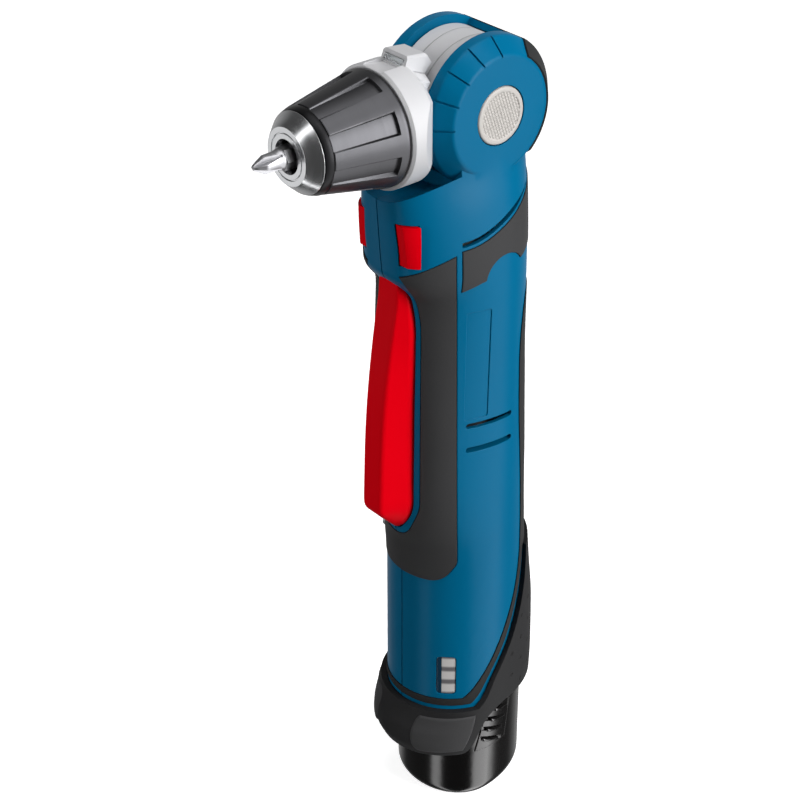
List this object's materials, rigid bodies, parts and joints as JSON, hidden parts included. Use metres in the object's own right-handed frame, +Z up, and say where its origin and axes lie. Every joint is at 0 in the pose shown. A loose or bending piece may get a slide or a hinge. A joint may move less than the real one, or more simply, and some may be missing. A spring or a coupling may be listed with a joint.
{
  "type": "right angle drill driver",
  "caption": "Battery drill driver with a long upright handle, paddle trigger, and a gear head with keyless chuck that tilts from square to straight.",
  "frame": {"origin": "centre of the battery foot, on the handle axis at the plane the tool stands on", "axes": "+Z up along the handle, -Y out of the chuck at rest, +X to the side with the charge window"},
  "size_m": [0.0484, 0.1073, 0.2825],
  "materials": {
    "blue_plastic": "fine moulded texture",
    "black_rubber": "soft matt",
    "red_plastic": "satin gloss",
    "white_metal": "white painted casting",
    "black_plastic": "moulded matt",
    "battery_plastic": "gloss",
    "grey_plastic": "knurled",
    "chuck_steel": "turned",
    "gear_steel": "machined",
    "spring_steel": "bright",
    "bit_steel": "bright",
    "bearing_steel": "polished",
    "motor_steel": "zinc plated",
    "magnet": "sintered",
    "copper": "enamelled wire and laminations",
    "board": "glass fibre",
    "clear_lens": "clear",
    "smoked_lens": "smoked",
    "contact_brass": "tinned",
    "cell_wrap": "shrink wrapped",
    "screw_steel": "blackened"
  },
  "bodies": {
    "handle": {"housing_right": "blue_plastic", "housing_left": "blue_plastic", "housing_screws": "screw_steel", "grip_panel_right": "black_rubber", "grip_panel_left": "black_rubber", "shoulder_panel_right": "black_rubber", "shoulder_panel_left": "black_rubber", "spine_grip": "black_rubber", "head_bumper": "black_rubber", "base_boot": "black_rubber", "charge_window": "smoked_lens", "charge_board": "board", "trigger_pin": "spring_steel", "trigger_spring": "spring_steel", "switch_body": "black_plastic", "release_spring_right": "spring_steel", "release_spring_left": "spring_steel", "gearbox_case": "black_plastic", "ring_gear": "gear_steel", "pinion_bearing": "bearing_steel", "motor_can": "motor_steel", "motor_magnets": "magnet", "motor_end_cap": "black_plastic", "control_board": "board", "terminal_block": "black_plastic"},
    "trigger": {"trigger": "red_plastic"},
    "plunger": {"switch_plunger": "black_plastic"},
    "selector": {"selector": "red_plastic"},
    "button_right": {"release_button_right": "grey_plastic"},
    "button_left": {"release_button_left": "grey_plastic"},
    "head": {"gear_head_case": "white_metal", "head_collar": "white_metal", "lamp_lens": "clear_lens", "lamp_board": "board", "spindle_bearing": "bearing_steel", "idler_axle": "gear_steel"},
    "idler": {"idler_gear": "gear_steel"},
    "spindle": {"spindle": "gear_steel", "spindle_bevel_gear": "gear_steel", "chuck_body": "chuck_steel"},
    "sleeve": {"chuck_sleeve": "black_plastic", "jaw_nut": "gear_steel"},
    "jaw_1": {"chuck_jaw_1": "chuck_steel"},
    "jaw_2": {"chuck_jaw_2": "chuck_steel"},
    "jaw_3": {"chuck_jaw_3": "chuck_steel"},
    "bit": {"driver_bit": "bit_steel"},
    "drive_shaft": {"drive_pinion": "gear_steel", "planet_carrier": "gear_steel"},
    "planet_1": {"planet_gear_1": "gear_steel"},
    "planet_2": {"planet_gear_2": "gear_steel"},
    "planet_3": {"planet_gear_3": "gear_steel"},
    "motor": {"motor_shaft": "gear_steel", "rotor": "copper", "cooling_fan": "black_plastic", "sun_gear": "gear_steel"},
    "battery": {"battery_case": "battery_plastic", "battery_cells": "cell_wrap", "battery_contacts": "contact_brass"},
    "latch_right": {"battery_latch_right": "battery_plastic"},
    "latch_left": {"battery_latch_left": "battery_plastic"}
  },
  "joints": [
    {"name": "trigger_pull", "type": "hinge", "parent": "handle", "child": "trigger", "pos_m": [0, -0.022, 0.212], "axis": [1, 0, 0], "range_deg": [0, 4], "stiffness_Nm_per_rad": 0.6, "springref_deg": -11.46},
    {"name": "plunger_slide", "type": "slide", "parent": "handle", "child": "plunger", "axis": [0, 1, 0], "range_m": [0, 0.0058]},
    {"name": "selector_slide", "type": "slide", "parent": "handle", "child": "selector", "axis": [1, 0, 0], "range_m": [-0.001, 0.001]},
    {"name": "button_right_press", "type": "slide", "parent": "handle", "child": "button_right", "axis": [-1, 0, 0], "range_m": [0, 0.002], "stiffness_N_per_m": 500, "springref_m": -0.003},
    {"name": "button_left_press", "type": "slide", "parent": "handle", "child": "button_left", "axis": [1, 0, 0], "range_m": [0, 0.002], "stiffness_N_per_m": 500, "springref_m": -0.003},
    {"name": "head_tilt", "type": "hinge", "parent": "handle", "child": "head", "pos_m": [0, 0, 0.2595], "axis": [-1, 0, 0], "range_deg": [0, 90]},
    {"name": "idler_spin", "type": "hinge", "parent": "head", "child": "idler", "pos_m": [0, 0, 0.2595], "axis": [1, 0, 0], "continuous": true},
    {"name": "spindle_spin", "type": "hinge", "parent": "head", "child": "spindle", "pos_m": [0, 0, 0.2595], "axis": [0, 1, 0], "continuous": true},
    {"name": "sleeve_turn", "type": "hinge", "parent": "spindle", "child": "sleeve", "pos_m": [0, 0, 0.2595], "axis": [0, 1, 0], "range_deg": [0, 330]},
    {"name": "bit_slide", "type": "slide", "parent": "spindle", "child": "bit", "axis": [0, -1, 0], "range_m": [0, 0.03]},
    {"name": "drive_shaft_spin", "type": "hinge", "parent": "handle", "child": "drive_shaft", "pos_m": [0, 0, 0.2335], "axis": [0, 0, 1], "continuous": true},
    {"name": "motor_spin", "type": "hinge", "parent": "handle", "child": "motor", "pos_m": [0, 0, 0.1735], "axis": [0, 0, 1], "continuous": true},
    {"name": "battery_slide", "type": "slide", "parent": "handle", "child": "battery", "axis": [0, 0, -1], "range_m": [0, 0.1]},
    {"name": "latch_right_press", "type": "slide", "parent": "battery", "child": "latch_right", "axis": [-1, 0, 0], "range_m": [0, 0.0008], "stiffness_N_per_m": 1500, "springref_m": -0.002},
    {"name": "latch_left_press", "type": "slide", "parent": "battery", "child": "latch_left", "axis": [1, 0, 0], "range_m": [0, 0.0008], "stiffness_N_per_m": 1500, "springref_m": -0.002},
    {"name": "jaw_1_slide", "type": "slide", "parent": "spindle", "child": "jaw_1", "axis": [0, 0.9659, 0.2588], "range_m": [0, 0.0066]},
    {"name": "jaw_2_slide", "type": "slide", "parent": "spindle", "child": "jaw_2", "axis": [0.2241, 0.9659, -0.1294], "range_m": [0, 0.0066]},
    {"name": "jaw_3_slide", "type": "slide", "parent": "spindle", "child": "jaw_3", "axis": [-0.2241, 0.9659, -0.1294], "range_m": [0, 0.0066]},
    {"name": "planet_1_spin", "type": "hinge", "parent": "drive_shaft", "child": "planet_1", "pos_m": [0.00825, 0, 0.2175], "axis": [0, 0, 1], "continuous": true},
    {"name": "planet_2_spin", "type": "hinge", "parent": "drive_shaft", "child": "planet_2", "pos_m": [-0.00413, 0.00715, 0.2175], "axis": [0, 0, 1], "continuous": true},
    {"name": "planet_3_spin", "type": "hinge", "parent": "drive_shaft", "child": "planet_3", "pos_m": [-0.00413, -0.00715, 0.2175], "axis": [0, 0, 1], "continuous": true}
  ],
  "couplings": [
    {"joint": "plunger_slide", "follows": "trigger_pull", "m_per_rad": 0.0765},
    {"joint": "drive_shaft_spin", "follows": "motor_spin", "ratio": 0.2},
    {"joint": "idler_spin", "follows": "motor_spin", "ratio": 0.066667},
    {"joint": "spindle_spin", "follows": "motor_spin", "ratio": 0.2},
    {"joint": "planet_1_spin", "follows": "motor_spin", "ratio": -0.53333},
    {"joint": "jaw_1_slide", "follows": "sleeve_turn", "m_per_rad": 0.0011286},
    {"joint": "planet_2_spin", "follows": "motor_spin", "ratio": -0.53333},
    {"joint": "jaw_2_slide", "follows": "sleeve_turn", "m_per_rad": 0.0011286},
    {"joint": "planet_3_spin", "follows": "motor_spin", "ratio": -0.53333},
    {"joint": "jaw_3_slide", "follows": "sleeve_turn", "m_per_rad": 0.0011286}
  ]
}
